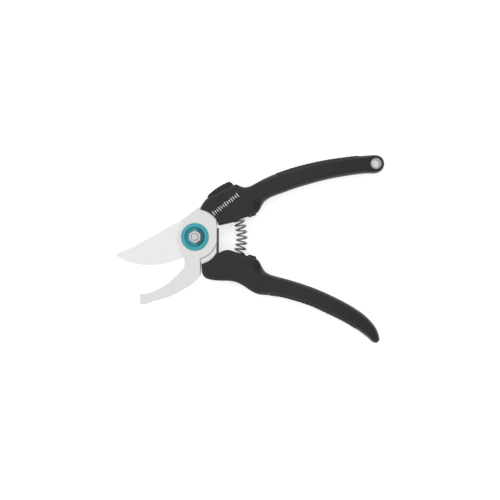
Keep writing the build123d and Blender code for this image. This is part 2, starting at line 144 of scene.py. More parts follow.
def rim_loop(rows, columns):
    """Indices of the points round the edge of a grid, in order."""
    index = np.arange(rows * columns).reshape(rows, columns)
    return np.concatenate([index[0, :-1], index[:-1, -1], index[-1, :0:-1], index[:0:-1, 0]])


def from_sheets(name, top, bottom, between=(), smooth_angle=40.0):
    """A closed piece from two grids of one size. Rim loops in between carry the wall from one to the
    other, top first; each is an (m, 3) array in the order of rim_loop."""
    rows, columns = top.shape[:2]
    count = rows * columns
    loop = rim_loop(rows, columns)
    quads = grid_quads(rows, columns)
    points = [top.reshape(-1, 3), bottom.reshape(-1, 3)] + list(between)
    starts = 2 * count + len(loop) * np.arange(len(between))
    rings = [loop] + [start + np.arange(len(loop)) for start in starts] + [loop + count]
    faces = [quads, quads[:, ::-1] + count]
    for one, two in zip(rings[:-1], rings[1:]):
        faces.append(np.stack([one, np.roll(one, -1), np.roll(two, -1), two], axis=1))
    return new_piece(name, np.vstack(points), np.vstack(faces), smooth_angle)


# %% [markdown]
# Lathe work is a profile turned about an axis, and wire or bar is a round section carried along a path.

# %% Turned and carried pieces


def turned(name, radius, height, centre, segments=96, smooth_angle=40.0):
    """A profile turned about a vertical axis: point (r, z) goes to centre + (r cos a, r sin a, z).
    A profile that starts and ends on the axis closes at two poles; any other is a closed ring."""
    radius, height = np.asarray(radius, float), np.asarray(height, float)
    angle = np.linspace(0, 2 * np.pi, segments, endpoint=False)
    poles = radius[0] == 0 and radius[-1] == 0
    inner = slice(1, -1) if poles else slice(None)
    r, z = radius[inner, None], height[inner, None]
    ring = np.stack([r * np.cos(angle), r * np.sin(angle), z + 0 * angle], axis=-1)
    rows = ring.shape[0]
    points = ring.reshape(-1, 3)
    faces = grid_quads(rows, segments, wrap_rows=not poles, wrap_columns=True).tolist()
    if poles:
        ends = np.array([[0, 0, height[0]], [0, 0, height[-1]]])
        points = np.vstack([points, ends])
        faces += pole_fans(rows, segments).tolist()
    return new_piece(name, points + np.asarray(centre), faces, smooth_angle)


def carried(name, path, across, upward, radius, sides=14, smooth_angle=50.0):
    """A round section carried along a path: path + radius (cos b across + sin b upward), its two ends
    closed by fans. across and upward are unit vectors at each point of the path."""
    b = np.linspace(0, 2 * np.pi, sides, endpoint=False)
    radius = np.broadcast_to(np.asarray(radius, float), (len(path),))
    ring = across[:, None] * np.cos(b)[:, None] + upward[:, None] * np.sin(b)[:, None]
    rings = path[:, None] + radius[:, None, None] * ring
    rows = len(path)
    points = np.vstack([rings.reshape(-1, 3), path[:1], path[-1:]])
    faces = grid_quads(rows, sides, wrap_columns=True).tolist() + pole_fans(rows, sides).tolist()
    return new_piece(name, points, faces, smooth_angle)


# %% [markdown]
# Pockets and bores are taken out of a finished piece by exact Booleans, as a drill would, and the
# result replaces the piece's mesh, so that no modifier is left live on it.

# %% Cut with tools


def cut(piece, *tools, smooth_angle=40.0):
    """Takes each tool's volume out of the piece, then deletes the tools."""
    for tool in tools:
        step = piece.modifiers.new("cut", "BOOLEAN")
        step.operation, step.solver, step.object = "DIFFERENCE", "EXACT", tool
    bpy.context.view_layer.update()
    evaluated = piece.evaluated_get(bpy.context.evaluated_depsgraph_get())
    mesh = bpy.data.meshes.new_from_object(evaluated)
    piece.modifiers.clear()
    old, piece.data = piece.data, mesh
    bpy.data.meshes.remove(old)
    mesh.name = piece.name
    mesh.set_sharp_from_angle(angle=np.radians(smooth_angle))
    for tool in tools:
        bpy.data.meshes.remove(tool.data)


print("mesh helpers ready")

# %% [markdown]
# ## Shader arithmetic
#
# A finish is a short formula. Wrapping a socket in a class that knows plus, minus and times lets the
# formula be written as Python, while Blender still gets ordinary Math nodes.

# %% Sockets as numbers


class Amount:
    """A number that varies over a surface: a socket on which arithmetic adds Math nodes."""

    def __init__(self, finish, socket):
        self.finish, self.socket = finish, socket

    def math(self, operation, *terms):
        return self.finish.node("ShaderNodeMath", {"operation": operation}, dict(enumerate(terms)))

    def __add__(self, other):
        return self.math("ADD", self, other)

    def __radd__(self, other):
        return self.math("ADD", other, self)

    def __sub__(self, other):
        return self.math("SUBTRACT", self, other)

    def __rsub__(self, other):
        return self.math("SUBTRACT", other, self)

    def __mul__(self, other):
        return self.math("MULTIPLY", self, other)

    def __rmul__(self, other):
        return self.math("MULTIPLY", other, self)

    def ramp(self, low, high):
        """0 at low and below, 1 at high and above, straight in between."""
        settings = {"clamp": True, "interpolation_type": "LINEAR"}
        return self.finish.node("ShaderNodeMapRange", settings, {0: self, 1: low, 2: high})


class Finish:
    """A node material round one Principled shader."""

    def __init__(self, name, **constants):
        self.material = bpy.data.materials.new(name)
        self.material.use_nodes = True
        self.tree = self.material.node_tree
        self.shader = self.tree.nodes["Principled BSDF"]
        for key, value in constants.items():
            self.shader.inputs[key.replace("_", " ")].default_value = value
        self.place = self.node("ShaderNodeTexCoord", output="Object")

    def node(self, kind, settings=None, inputs=None, output=0):
        """Any node: its type, its settings, its sockets' values or links, and the output wanted."""
        node = self.tree.nodes.new(kind)
        for key, value in (settings or {}).items():
            setattr(node, key, value)
        for key, value in (inputs or {}).items():
            if isinstance(value, Amount):
                self.tree.links.new(value.socket, node.inputs[key])
            else:
                node.inputs[key].default_value = value
        return Amount(self, node.outputs[output])

    def noise(self, scale, detail=2.0, rough=0.5, stretch=(1, 1, 1), turn=0.0):
        """Noise at a scale per metre, drawn out along one axis after a turn about Z in degrees."""
        mapping = {"Vector": self.place, "Rotation": (0, 0, np.radians(turn)), "Scale": stretch}
        place = self.node("ShaderNodeMapping", {"vector_type": "POINT"}, mapping)
        inputs = {"Vector": place, "Scale": scale, "Detail": detail, "Roughness": rough}
        return self.node("ShaderNodeTexNoise", {}, inputs)

    def mix(self, factor, one, two):
        """A colour between two colours."""
        inputs = {0: factor, 6: one, 7: two}
        return self.node("ShaderNodeMix", {"data_type": "RGBA"}, inputs, 2)

    def bump(self, height, distance, strength=1.0):
        """A normal from a height, where 1 stands for the distance in metres."""
        inputs = {"Height": height, "Distance": distance, "Strength": strength}
        return self.node("ShaderNodeBump", {}, inputs)

    def attribute(self, name):
        """A number stored on the piece's points."""
        return self.node("ShaderNodeAttribute", {"attribute_name": name}, None, "Fac")

    def drive(self, **sockets):
        """Links amounts to the shader's sockets by name, with _ for a space."""
        for key, value in sockets.items():
            self.tree.links.new(value.socket, self.shader.inputs[key.replace("_", " ")])
        return self.material


print("shader helpers ready")

# %% [markdown]
# ## Finishes
#
# The two plates are stamped from sheet steel and ground flat, which leaves fine parallel lines. The
# lines are noise drawn out along the grinding direction. They change the roughness and the surface
# height a little, and a slow mottling stands for handling.

# %% Steel finishes


def grey(level, warm=0.0):
    """A grey as a colour, slightly warmer when warm is above 0."""
    return (level * (1 + warm), level, level * (1 - warm), 1.0)


def ground_steel(name, level, turn, shade_from=None, line=2600, rough=0.27):
    """Ground plate: long thin lines at an angle in degrees, and soft clouds 10 mm across. Past a
    given X in metres, the plate is painted dark as shade: the strip beside the hook plate's rear edge."""
    f = Finish(name, Metallic=1.0)
    lines = f.noise(1.0, 3.0, 0.65, (45, line, 400), turn)
    clouds = f.noise(90, 3.0, 0.55)
    specks = f.noise(900, 2.0, 0.6)
    tone = lines * 0.5 + clouds * 0.35 + specks * 0.15
    colour = f.mix(tone, grey(level * 0.93, 0.004), grey(min(level * 1.07, 1.0), -0.002))
    roughness = rough - 0.10 + lines * 0.16 + clouds * 0.08
    if shade_from:
        x = f.node("ShaderNodeSeparateXYZ", {}, {0: f.place})
        # painted shadow: past the given X the plate goes nearly black, standing for the shade along the
        # hook plate's rear edge
        scale = (x + clouds * 0.0006).ramp(shade_from, shade_from + 0.0005)
        colour = f.mix(scale, colour, grey(0.10, 0.02))
        roughness = roughness + scale * 0.16
    return f.drive(Base_Color=colour, Roughness=roughness, Normal=f.bump(lines, 0.000012, 0.6))


def turned_steel(name, level, rough=0.28):
    """Plated hardware: fine even grain with faint darker specks."""
    f = Finish(name, Metallic=1.0)
    grain = f.noise(1500, 3.0, 0.6)
    clouds = f.noise(260, 2.0, 0.5)
    colour = f.mix(grain * 0.6 + clouds * 0.4, grey(level * 0.86), grey(min(level * 1.10, 1.0)))
    roughness = rough - 0.06 + grain * 0.14
    return f.drive(Base_Color=colour, Roughness=roughness, Normal=f.bump(grain, 0.000010, 0.5))


# painted shadow: the blade is painted dark beyond this X, along the hook plate's rear edge
BLADE_SHADE_FROM = 0.0155
blade_steel = ground_steel("blade_steel", 0.835, 12, BLADE_SHADE_FROM)
hook_steel = ground_steel("hook_steel", 0.75, 40)
bolt_steel = turned_steel("bolt_steel", 0.63)
spring_steel = turned_steel("spring_steel", 0.29, 0.34)
screw_steel = turned_steel("screw_steel", 0.16, 0.38)
eyelet_steel = turned_steel("eyelet_steel", 0.50)
lock_steel = turned_steel("lock_steel", 0.58)
print("steel finishes:", [m.name for m in bpy.data.materials if "steel" in m.name])

# %% [markdown]
# The handles are moulded in a tool whose walls are spark-eroded, so the plastic has a fine even
# pebbling that scatters light. Where a hand rubs it, near the rims, it is slightly smoother and
# lighter. The rim attribute, which the handle surfaces carry, is 1 on the rim and 0 further in.

# %% Plastic and rubber finishes


def moulded(name, level, rough=0.52, pebble=1900, depth=0.00006):
    """Spark-textured plastic: pebbling, slow clouds, a rubbed rim where there is one, and painted shade.
    """
    f = Finish(name, Specular_IOR_Level=0.34)
    pebbles = f.noise(pebble, 2.0, 0.55)
    clouds = f.noise(70, 3.0, 0.6)
    scuffs = f.noise(1.0, 3.0, 0.7, (120, 700, 300), 30).ramp(0.60, 0.74)
    rim = f.attribute("rim")
    tone = pebbles * 0.35 + clouds * 0.35 + rim * 0.25 + scuffs * 0.12
    # painted shade: darker in the thumb hollow and towards the tails, from the hollow and tail attribute
    tone = tone * (1 - f.attribute("hollow_and_tail_shade"))
    colour = f.mix(tone, grey(level * 0.35, 0.01), grey(level * 1.75, 0.0))
    roughness = rough - 0.05 + pebbles * 0.12 - rim * 0.10 + clouds * 0.06
    return f.drive(Base_Color=colour, Roughness=roughness, Normal=f.bump(pebbles, depth, 0.7))


def soft_rubber(name, level):
    """Matt elastomer with a very fine grain and a dusty bloom."""
    f = Finish(name, Specular_IOR_Level=0.30)
    grain = f.noise(3200, 2.0, 0.6)
    bloom = f.noise(110, 4.0, 0.6)
    colour = f.mix(grain * 0.3 + bloom * 0.7, grey(level * 0.7), grey(level * 1.6, 0.01))
    roughness = 0.72 + grain * 0.12 + bloom * 0.08
    return f.drive(Base_Color=colour, Roughness=roughness, Normal=f.bump(grain, 0.00003, 0.5))


handle_plastic = moulded("handle_plastic", 0.0165)
button_plastic = moulded("button_plastic", 0.0155, 0.50)
seat_plastic = moulded("seat_plastic", 0.016, 0.5)
grip_rubber = soft_rubber("grip_rubber", 0.0195)
buffer_rubber = soft_rubber("buffer_rubber", 0.012)
print("plastic finishes:", [m.name for m in bpy.data.materials if "plastic" in m.name])

# %% [markdown]
# The ring is a glossy coloured moulding, the scale is printed ink, and the washer is sintered bronze.
# Each is one short formula of noise, so that no surface is a single flat colour.

# %% Ring, ink and bronze finishes


def glossy(name, shade, rough=0.24):
    """Polished coloured plastic: faint clouds in the pigment and hairline rubbing."""
    f = Finish(name, Specular_IOR_Level=0.5, Coat_Weight=0.25, Coat_Roughness=0.15)
    clouds = f.noise(220, 3.0, 0.6)
    hairs = f.noise(1.0, 2.0, 0.6, (300, 3500, 500), 65)
    dark = tuple(c * 0.86 for c in shade) + (1.0,)
    light = tuple(min(c * 1.12, 1.0) for c in shade) + (1.0,)
    colour = f.mix(clouds * 0.8 + hairs * 0.2, dark, light)
    roughness = rough - 0.05 + hairs * 0.10 + clouds * 0.05
    return f.drive(Base_Color=colour, Roughness=roughness, Normal=f.bump(hairs, 0.000008, 0.4))


def printed(name, level):
    """Pad-printed ink: thin, matt, and slightly uneven where the texture below shows through."""
    f = Finish(name, Specular_IOR_Level=0.35)
    pebbles = f.noise(1900, 2.0, 0.55)
    colour = f.mix(pebbles, grey(level * 0.75), grey(level * 1.1))
    return f.drive(Base_Color=colour, Roughness=0.5 + pebbles * 0.15, Normal=f.bump(pebbles, 0.00003))


def bronze(name):
    """Sintered bronze: warm, matt and speckled."""
    f = Finish(name, Metallic=1.0)
    specks = f.noise(1400, 3.0, 0.7)
    colour = f.mix(specks, (0.38, 0.25, 0.12, 1), (0.62, 0.45, 0.24, 1))
    return f.drive(Base_Color=colour, Roughness=0.35 + specks * 0.2, Normal=f.bump(specks, 0.00001))


ring_turquoise = glossy("ring_turquoise", (0.022, 0.300, 0.350))
# painted shadow: the darker teal of the block beside the nut, which stands for the nut's shade in the
# recess
nut_shadow_teal = glossy("nut_shadow_teal", (0.012, 0.110, 0.135), 0.32)
scale_ink = printed("scale_ink", 0.55)
washer_bronze = bronze("washer_bronze")
print("finishes in all:", len(bpy.data.materials))

# %% [markdown]
# ## CAD nodes that keep their shape
#
# Stamped plates, the bolt, screws and pins are already right: flat faces, ground bevel and chamfers.
# They only need their finish, so each gets its material in place.

# %% Finish the CAD nodes


def finish_node(node, material):
    """Puts a material in a CAD node's slots."""
    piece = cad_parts[node]
    if not piece.material_slots:
        piece.data.materials.append(material)
    for slot in piece.material_slots:
        slot.material = material


kept_nodes = {
    "cutting_blade": blade_steel, "hook_blade": hook_steel, "pivot_bolt": bolt_steel,
    "blade_washer": washer_bronze, "upper_shell_screws": screw_steel,
    "lower_shell_screws": screw_steel, "upper_spring_seat": seat_plastic,
    "lower_spring_seat": seat_plastic, "lock_bolt": lock_steel, "lock_pin": lock_steel,
    "lock_detent_spring": spring_steel,
}
for node, material in kept_nodes.items():
    finish_node(node, material)
print("CAD nodes kept:", ", ".join(kept_nodes))

# %% [markdown]
# Every new piece needs the same three things: a material, the body it rides on, and the CAD nodes
# that it stands for.

# %% Add a new piece


def add_piece(piece, body, slot, material, *nodes):
    """Gives a finished piece its body, its material and the nodes it stands for; slot is not used."""
    piece.data.materials.clear()
    piece.data.materials.append(material)
    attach(piece, body)
    if nodes:
        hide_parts(*nodes)
    faces = len(piece.data.polygons)
    print(f"{piece.name}: {faces} faces on {body}")


# %% [markdown]
# ## The handles
#
# Each handle is two moulded shells that meet on the middle plane. Seen from above, a handle is a band
# between an inner edge, on the side of the other handle, and an outer edge. Its thickness is a height
# over that band: a wall, then a rounding whose width grows from the boxy block to the grip, which is
# nearly oval. So one shell is a function of two numbers: how far along the handle, and how far across.
#
# A box with a bevel could not change its section like this, and sculpting would not repeat, so the
# band is spanned by ribs: pairs of points, one on each edge, through which smooth curves are drawn.

# %% Curves and ribs


def smooth_through(knots, values, at):
    """Natural cubic spline: the smoothest curve through values at knots, read at the places asked."""
    n = len(knots)
    gap = np.diff(knots)
    system = np.eye(n)
    right = np.zeros((n, values.shape[1]))
    inside = np.arange(1, n - 1)
    system[inside, inside - 1] = gap[:-1]
    system[inside, inside] = 2 * (gap[:-1] + gap[1:])
    system[inside, inside + 1] = gap[1:]
    slope = np.diff(values, axis=0) / gap[:, None]
    right[1:-1] = 6 * np.diff(slope, axis=0)
    bend = np.linalg.solve(system, right)
    k = np.clip(np.searchsorted(knots, at, side="right") - 1, 0, n - 2)
    h = gap[k][:, None]
    a, b = ((knots[k + 1] - at)[:, None] / h, (at - knots[k])[:, None] / h)
    curve = (a**3 - a) * bend[k] + (b**3 - b) * bend[k + 1]
    return a * values[k] + b * values[k + 1] + curve * h**2 / 6


UPPER_RIBS = [  # millimetres: inner edge x, y, then outer edge x, y
    (16.9, 8.3, 3.82, 19.63), (18.6, 8.45, 4.8, 22.3), (20.8, 8.85, 6.6, 25.2),
    (23.4, 9.5, 8.8, 27.55), (26.4, 10.2, 12.9, 29.65), (29.6, 11.4, 18, 32.3),
    (34.5, 13.3, 23.4, 35), (38.4, 14.5, 27.7, 37), (41.8, 15.7, 30, 37.1),
    (44.8, 17.6, 33.2, 36.1), (46.8, 20.6, 37.4, 36.1), (48.6, 24, 41.8, 38),
    (51.2, 27, 46.2, 40.2), (54.6, 29, 51, 42.5), (63, 32.3, 60, 46.3), (73.5, 35.9, 71, 50),
    (84.6, 39.4, 82.5, 53.15), (95.5, 42.3, 94, 55.6), (106.2, 44.4, 106.2, 57.4),
    (117, 45.7, 117.5, 58.5), (125, 46.2, 125, 58.9), (129.9, 46.2, 129.9, 59),
    (133.1, 47.05, 133.1, 58.14), (135.4, 49.4, 135.4, 55.8), (136.2, 52, 136.2, 53.2),
]
LOWER_RIBS = [
    (14.9, -11.9, 4.84, -19.4), (17.2, -11.29, 4.8, -22.2), (20.3, -9.73, 5.3, -26),
    (23.4, -9.1, 7.6, -29.5), (26.2, -9.5, 11.7, -31.2), (29.6, -10.6, 17.5, -31.9),
    (34.5, -12, 24.6, -32.1), (38.4, -13, 30.5, -33.4), (41.8, -14.15, 35.5, -36),
    (44.6, -15.8, 39.5, -38.3), (46.8, -18.6, 43, -39.9), (48.6, -22, 46.5, -41),
    (51, -25, 50, -41.7), (54, -26.8, 53.5, -42.2), (58.5, -28.4, 58.5, -42.9),
    (67, -31, 66.6, -44.6), (77.4, -34.2, 74.5, -46.8), (88, -37.9, 84, -50),
    (99.5, -42.9, 94.5, -54.9), (110.5, -48.7, 104.5, -59.7), (120.6, -55.7, 114, -65.2),
    (126.8, -61.4, 121.6, -70.6), (130.6, -66.6, 125.9, -74.3), (132.4, -71.2, 128.3, -76.2),
    (132.9, -74.2, 130.8, -76.65),
]
# Fairing: at each X, in millimetres, the edge moves this far in Y, and in between in proportion.
UPPER_INNER_FAIRING = (
    [40, 44, 46.5, 50, 56, 63, 77, 82, 91, 97, 107, 113, 118, 129.9, 134, 137],
    [0.1, 0, -0.6, -0.7, -0.45, -0.6, -0.5, -0.7, -0.8, -0.85, -0.9, -0.7, -0.55, -0.4, -0.1, 0])
UPPER_OUTER_FAIRING = (
    [27, 30, 33, 36, 39, 43, 47, 51, 56, 60, 77, 82, 98, 110, 118, 129.9, 134, 137],
    [0, 0.5, 0.1, -0.2, -0.6, -0.6, -0.3, 0, 0, -0.2, -0.3, -0.4, -0.5, -0.45, -0.35, -0.1, 0, 0])
LOWER_INNER_FAIRING = (
    [17, 19, 24, 30, 34, 38, 41.5, 45, 49, 52, 56, 62, 68, 74, 84, 90, 106, 114, 120.6, 128, 131, 133],
    [-0.2, -0.3, -0.2, -0.4, -0.5, -0.7, -0.8, -0.1, -0.1, -0.4, -0.05, 0.05, 0.45, 0.4, 0.4, 0.2,
     0.1, 0.3, 0.6, 0.5, 0.2, 0])
LOWER_OUTER_FAIRING = (
    [4, 8, 12, 30, 34, 37, 41, 44, 48, 52, 57, 70, 80, 95, 115, 121],
    [0, 0.2, 0.45, 0.5, 0.6, 0.3, -0.1, -0.45, -0.3, 0, 0.35, 0.4, 0.25, 0.3, 0.3, 0.3])


def faired(ribs, inner, outer):
    """The ribs with both edges moved in Y by their fairing."""
    ribs = np.array(ribs)
    ribs[:, 1] += np.interp(ribs[:, 0], *inner)
    ribs[:, 3] += np.interp(ribs[:, 2], *outer)
    return ribs


# %% [markdown]
# A band is the plan of one handle between its two edges. Its height over the middle plane is the wall
# plus a quarter of an oval, whose width depends on how far along the handle a spot lies.

# %% The band of a handle
FRONT_FADE = 9 * MM  # the front rib bows round the pivot; over this length the ribs straighten

GRIP_FROM, GRIP_CHANGE = 46.0 * MM, 4.5 * MM  # where the block ends, and over what length
BLOCK_CLEAR, GRIP_THINNER = 0.12 * MM, 1.05 * MM  # how far each stays below the block's half
BLOCK_WALL, GRIP_WALL = 6.4 * MM, 1.4 * MM
BLOCK_ROUND = 2.3 * MM
HOLLOW_DEEP = 1.9 * MM
HOLLOW_SIZE = np.array([2.5, 3.8]) * MM


class Band:
    """The plan of one handle, and its height over the middle plane."""

    def __init__(self, ribs, scoop, round_at):
        ribs = ribs * MM
        self.inner, self.outer = ribs[:, :2], ribs[:, 2:]
        steps = (np.linalg.norm(np.diff(self.inner, axis=0), axis=1)
                 + np.linalg.norm(np.diff(self.outer, axis=0), axis=1)) / 2
        self.knots = np.concatenate([[0], np.cumsum(steps)])
        self.length = self.knots[-1]
        self.scoop, self.round_at = scoop, np.array(round_at) * MM
        border = self.plan(*self.spaced(400, 60))
        self.border = border.reshape(-1, 2)[rim_loop(400, 60)]

    def spaced(self, rows, columns, inset=0.0):
        """Distances along and shares across, closer together near every edge; inset draws them in."""
        t = np.linspace(0, 1, rows)
        along = self.length * (t - 0.9 * np.sin(2 * np.pi * t) / (2 * np.pi))
        across = (1 - np.cos(np.pi * np.linspace(0, 1, columns))) / 2
        along = inset + along * (1 - 2 * inset / self.length)
        width = np.linalg.norm(self.edge(self.outer, along) - self.edge(self.inner, along), axis=1)
        share = np.clip(inset / width, 0, 0.3)[:, None]
        return along, share + (1 - 2 * share) * across[None, :]

    def edge(self, points, along):
        return smooth_through(self.knots, points, along)

    def plan(self, along, across):
        """Straight ribs from the inner to the outer edge, bowed near the front onto the arc there."""
        inner, outer = self.edge(self.inner, along)[:, None], self.edge(self.outer, along)[:, None]
        straight = inner + (outer - inner) * across[..., None]
        first, last = self.inner[0], self.outer[0]
        turn = np.arctan2(first[1], first[0]), np.arctan2(last[1], last[0])
        angle = turn[0] + (turn[1] - turn[0]) * across
        far, near = np.linalg.norm(last), np.linalg.norm(first)
        reach = far - (far - near) * (1 - across) ** 4
        bow = reach[..., None] * np.stack([np.cos(angle), np.sin(angle)], axis=-1)
        bow -= first + (last - first) * across[..., None]
        fade = np.clip(1 - along / FRONT_FADE, 0, 1)[:, None, None] ** 2
        return straight + bow * fade

    def depth(self, spots):
        """Distance of each spot from the border, by its nearest border segment."""
        a, b = self.border, np.roll(self.border, -1, axis=0)
        side = b - a
        length = np.maximum((side**2).sum(axis=1), 1e-16)
        nearest = np.full(len(spots), np.inf)
        for part in np.array_split(np.arange(len(a)), 24):
            share = ((spots[:, None] - a[part]) * side[part]).sum(axis=2) / length[part]
            foot = a[part] + np.clip(share, 0, 1)[..., None] * side[part]
            nearest = np.minimum(nearest, np.linalg.norm(spots[:, None] - foot, axis=2).min(axis=1))
        return nearest

    def height(self, spots, depth):
        """Wall plus a quarter of an oval: wall + (full - wall) sqrt(1 - (1 - depth / round)^2)."""
        x = spots[:, 0]
        grip = np.clip((x - GRIP_FROM) / GRIP_CHANGE, 0, 1)
        grip = grip * grip * (3 - 2 * grip)
        full = BLOCK_HALF - BLOCK_CLEAR - GRIP_THINNER * grip
        wall = BLOCK_WALL - (BLOCK_WALL - GRIP_WALL) * grip
        rounding = BLOCK_ROUND * (1 - grip) + np.interp(x, *self.round_at) * grip
        share = np.clip(depth / rounding, 0, 1)
        height = wall + (full - wall) * np.sqrt(1 - (1 - share) ** 2)
        return height - HOLLOW_DEEP * self.hollow(spots) * share

    def hollow(self, spots):
        """1 in the middle of the lobe's thumb hollow, fading to 0 as a bell."""
        away = (spots - np.array(self.scoop) * MM) / HOLLOW_SIZE
        return np.exp(-(away**2).sum(axis=1))


upper_ribs = faired(UPPER_RIBS, UPPER_INNER_FAIRING, UPPER_OUTER_FAIRING)
lower_ribs = faired(LOWER_RIBS, LOWER_INNER_FAIRING, LOWER_OUTER_FAIRING)
upper_band = Band(upper_ribs, (44.6, 22.6), [[50, 100, 120, 127], [5.6, 5.6, 3.0, 1.7]])
lower_band = Band(lower_ribs, (45.0, -21.2), [[50, 100, 120, 132], [5.6, 5.4, 3.6, 2.0]])
print(f"bands are {upper_band.length / MM:.1f} and {lower_band.length / MM:.1f} mm long")

# %% [markdown]
# A shell is the height above the band, a wall down to a small V at the seam, and a flat face on the
# middle plane, drawn in by the depth of the V. The rear shell is the same shape turned over.

# %% Shells
SEAM_V = 0.22 * MM
RUBBED = 2.6 * MM  # width of the rim that a hand rubs
TAIL_SHADE = ([75 * MM, 125 * MM], [0.0, 0.75])  # painted shade: the plastic is painted darker towards the tails
SHELL_ROWS, SHELL_COLUMNS = 260, 46


def shell(name, band, side):
    """One shell: side is 1 for the front and -1 for the rear."""
    plan = band.plan(*band.spaced(SHELL_ROWS, SHELL_COLUMNS))
    spots = plan.reshape(-1, 2)
    depth = band.depth(spots)
    rise = band.height(spots, depth)
    loop = rim_loop(SHELL_ROWS, SHELL_COLUMNS)
    depth[loop] = 0
    rise[loop] = band.height(spots[loop], depth[loop])
    face = band.plan(*band.spaced(SHELL_ROWS, SHELL_COLUMNS, SEAM_V)).reshape(-1, 2)

    def at(xy, above):
        return np.column_stack([xy, MID_Z + side * np.broadcast_to(above, len(xy))])

    sheet = (SHELL_ROWS, SHELL_COLUMNS, 3)
    wall = at(spots[loop], SEAM + SEAM_V)
    piece = from_sheets(name, at(spots, rise).reshape(sheet), at(face, SEAM).reshape(sheet), [wall])
    rim = np.concatenate([1 - np.clip(depth / RUBBED, 0, 1), np.zeros(len(face)), np.ones(len(loop))])
    # painted shade: the plastic is painted darker towards the tails and in the thumb hollow
    tail = np.interp(np.concatenate([spots, face, spots[loop]])[:, 0], *TAIL_SHADE)
    hollow = np.concatenate([band.hollow(spots), np.zeros(len(face) + len(loop))])
    for key, values in (("rim", rim), ("hollow_and_tail_shade", np.maximum(hollow, tail))):
        store = piece.data.attributes.new(key, "FLOAT", "POINT")
        store.data.foreach_set("value", values.astype(np.float32))
    return piece


# %% [markdown]
# Real shells have pockets and holes, so tools of the same size as in the CAD model are taken out of
# them: a curved rod for each spring pocket, cylinders for the screws' counterbores and the eyelet, and
# a block for the lock bolt's channel. Screw centres are read from the screws themselves: each screw is
# a cluster of points, well apart from the next in X.

# %% Tools for the pockets
SPRING_R = 33.8 * MM
SPRING_UP, SPRING_DOWN = np.radians(36.5), np.radians(-34.5)
POCKET_R = 5.0 * MM
SEAT_DEPTH = np.radians(3.27)
POCKET_REACH = np.radians(26)
BORE_R = 3.35 * MM
BORE_TOP = 5.4 * MM
EYE_BORE_R = 3.5 * MM
TOOL_LOW, TOOL_HIGH = -2 * MM, 20 * MM  # past both sides of the handle


def on_arc(angle, radius=SPRING_R):
    """Points on an arc about the pivot, in the middle plane."""
    return np.stack([radius * np.cos(angle), radius * np.sin(angle), MID_Z + 0 * angle], axis=-1)


def arc_rod(name, radius, start, end, rows=40, sides=48):
    """A rod on the spring's arc: its section stands on the radial direction and Z."""
    angle = np.linspace(start, end, rows)
    across = np.stack([np.cos(angle), np.sin(angle), 0 * angle], axis=-1)
    upward = np.broadcast_to([0.0, 0.0, 1.0], across.shape)
    return carried(name, on_arc(angle), across, upward, radius, sides)


def post(name, radius, low, high, centre, sides=48):
    """A plain cylinder used only as a cutting tool."""
    return turned(name, [0, radius, radius, 0], [low, low, high, high], (*centre, 0), sides)


def cluster_centres(node):
    """Middle of each cluster of a node's points, where X jumps by more than 5 mm."""
    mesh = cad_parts[node].data
    points = np.empty(len(mesh.vertices) * 3)
    mesh.vertices.foreach_get("co", points)
    points = points.reshape(-1, 3)
    points = points[np.argsort(points[:, 0])]
    groups = np.split(points, np.flatnonzero(np.diff(points[:, 0]) > 5 * MM) + 1)
    return [(g.min(axis=0) + g.max(axis=0))[:2] / 2 for g in groups]


upper_screws = cluster_centres("upper_shell_screws")
lower_screws = cluster_centres("lower_shell_screws")
EYE = (np.array(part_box("hanging_eyelet")[0]) + np.array(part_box("hanging_eyelet")[1]))[:2] / 2
print("screws:", len(upper_screws), "and", len(lower_screws), "eye at", np.round(EYE / MM, 2))

# %% [markdown]
# The lock slides along the slope of the upper block, so its channel, and later its button, are laid
# out by two distances: along the slope and above it.

# %% Lock slide directions
SLIDE = np.radians(27)
ALONG = np.array([np.cos(SLIDE), np.sin(SLIDE)])
UPWARD = np.array([-np.sin(SLIDE), np.cos(SLIDE)])
BOLT_ROOM_ALONG, BOLT_ROOM_HEIGHT = np.array([8, 31.8]) * MM, np.array([9.35, 12.65]) * MM
BOLT_ROOM_Z = (5.75 * MM, 9.5 * MM)


def on_slide(along, height):
    """Plan points at distances along the lock's slide line and heights above it."""
    return np.asarray(along)[..., None] * ALONG + np.asarray(height)[..., None] * UPWARD


def channel(name, along, height, low, high):
    """A block along the slide line, used only as a cutting tool."""
    corner_a, corner_h = np.meshgrid(along, height, indexing="ij")
    plan = on_slide(corner_a, corner_h)
    sheets = [np.concatenate([plan, np.full((2, 2, 1), z)], axis=-1) for z in (high, low)]
    return from_sheets(name, *sheets)


# %% [markdown]
# The front and the rear shell of a handle differ only in their side. Both get the spring's pocket, and
# only the rear ones get the counterbores, because the screws are put in from the rear.

# %% Four shells
for side, label in ((1, "front"), (-1, "rear")):
    piece = shell(f"upper_{label}", upper_band, side)
    pocket_end = SPRING_UP + SEAT_DEPTH
    tools = [
        arc_rod("pocket", POCKET_R, pocket_end - POCKET_REACH, pocket_end),
        post("eye_bore", EYE_BORE_R, TOOL_LOW, TOOL_HIGH, EYE),
    ]
    if side < 0:
        tools += [post("bore", BORE_R, TOOL_LOW, BORE_TOP, c) for c in upper_screws]
        tools.append(channel("bolt_room", BOLT_ROOM_ALONG, BOLT_ROOM_HEIGHT, *BOLT_ROOM_Z))
    cut(piece, *tools)
    add_piece(piece, "hook_half", "handle_plastic", handle_plastic, f"upper_{label}_shell")

    piece = shell(f"lower_{label}", lower_band, side)
    pocket_end = SPRING_DOWN - SEAT_DEPTH
    tools = [arc_rod("pocket", POCKET_R, pocket_end, pocket_end + POCKET_REACH)]
    if side < 0:
        tools += [post("bore", BORE_R, TOOL_LOW, BORE_TOP, c) for c in lower_screws]
    cut(piece, *tools)
    add_piece(piece, "blade_half", "handle_plastic", handle_plastic, f"lower_{label}_shell")

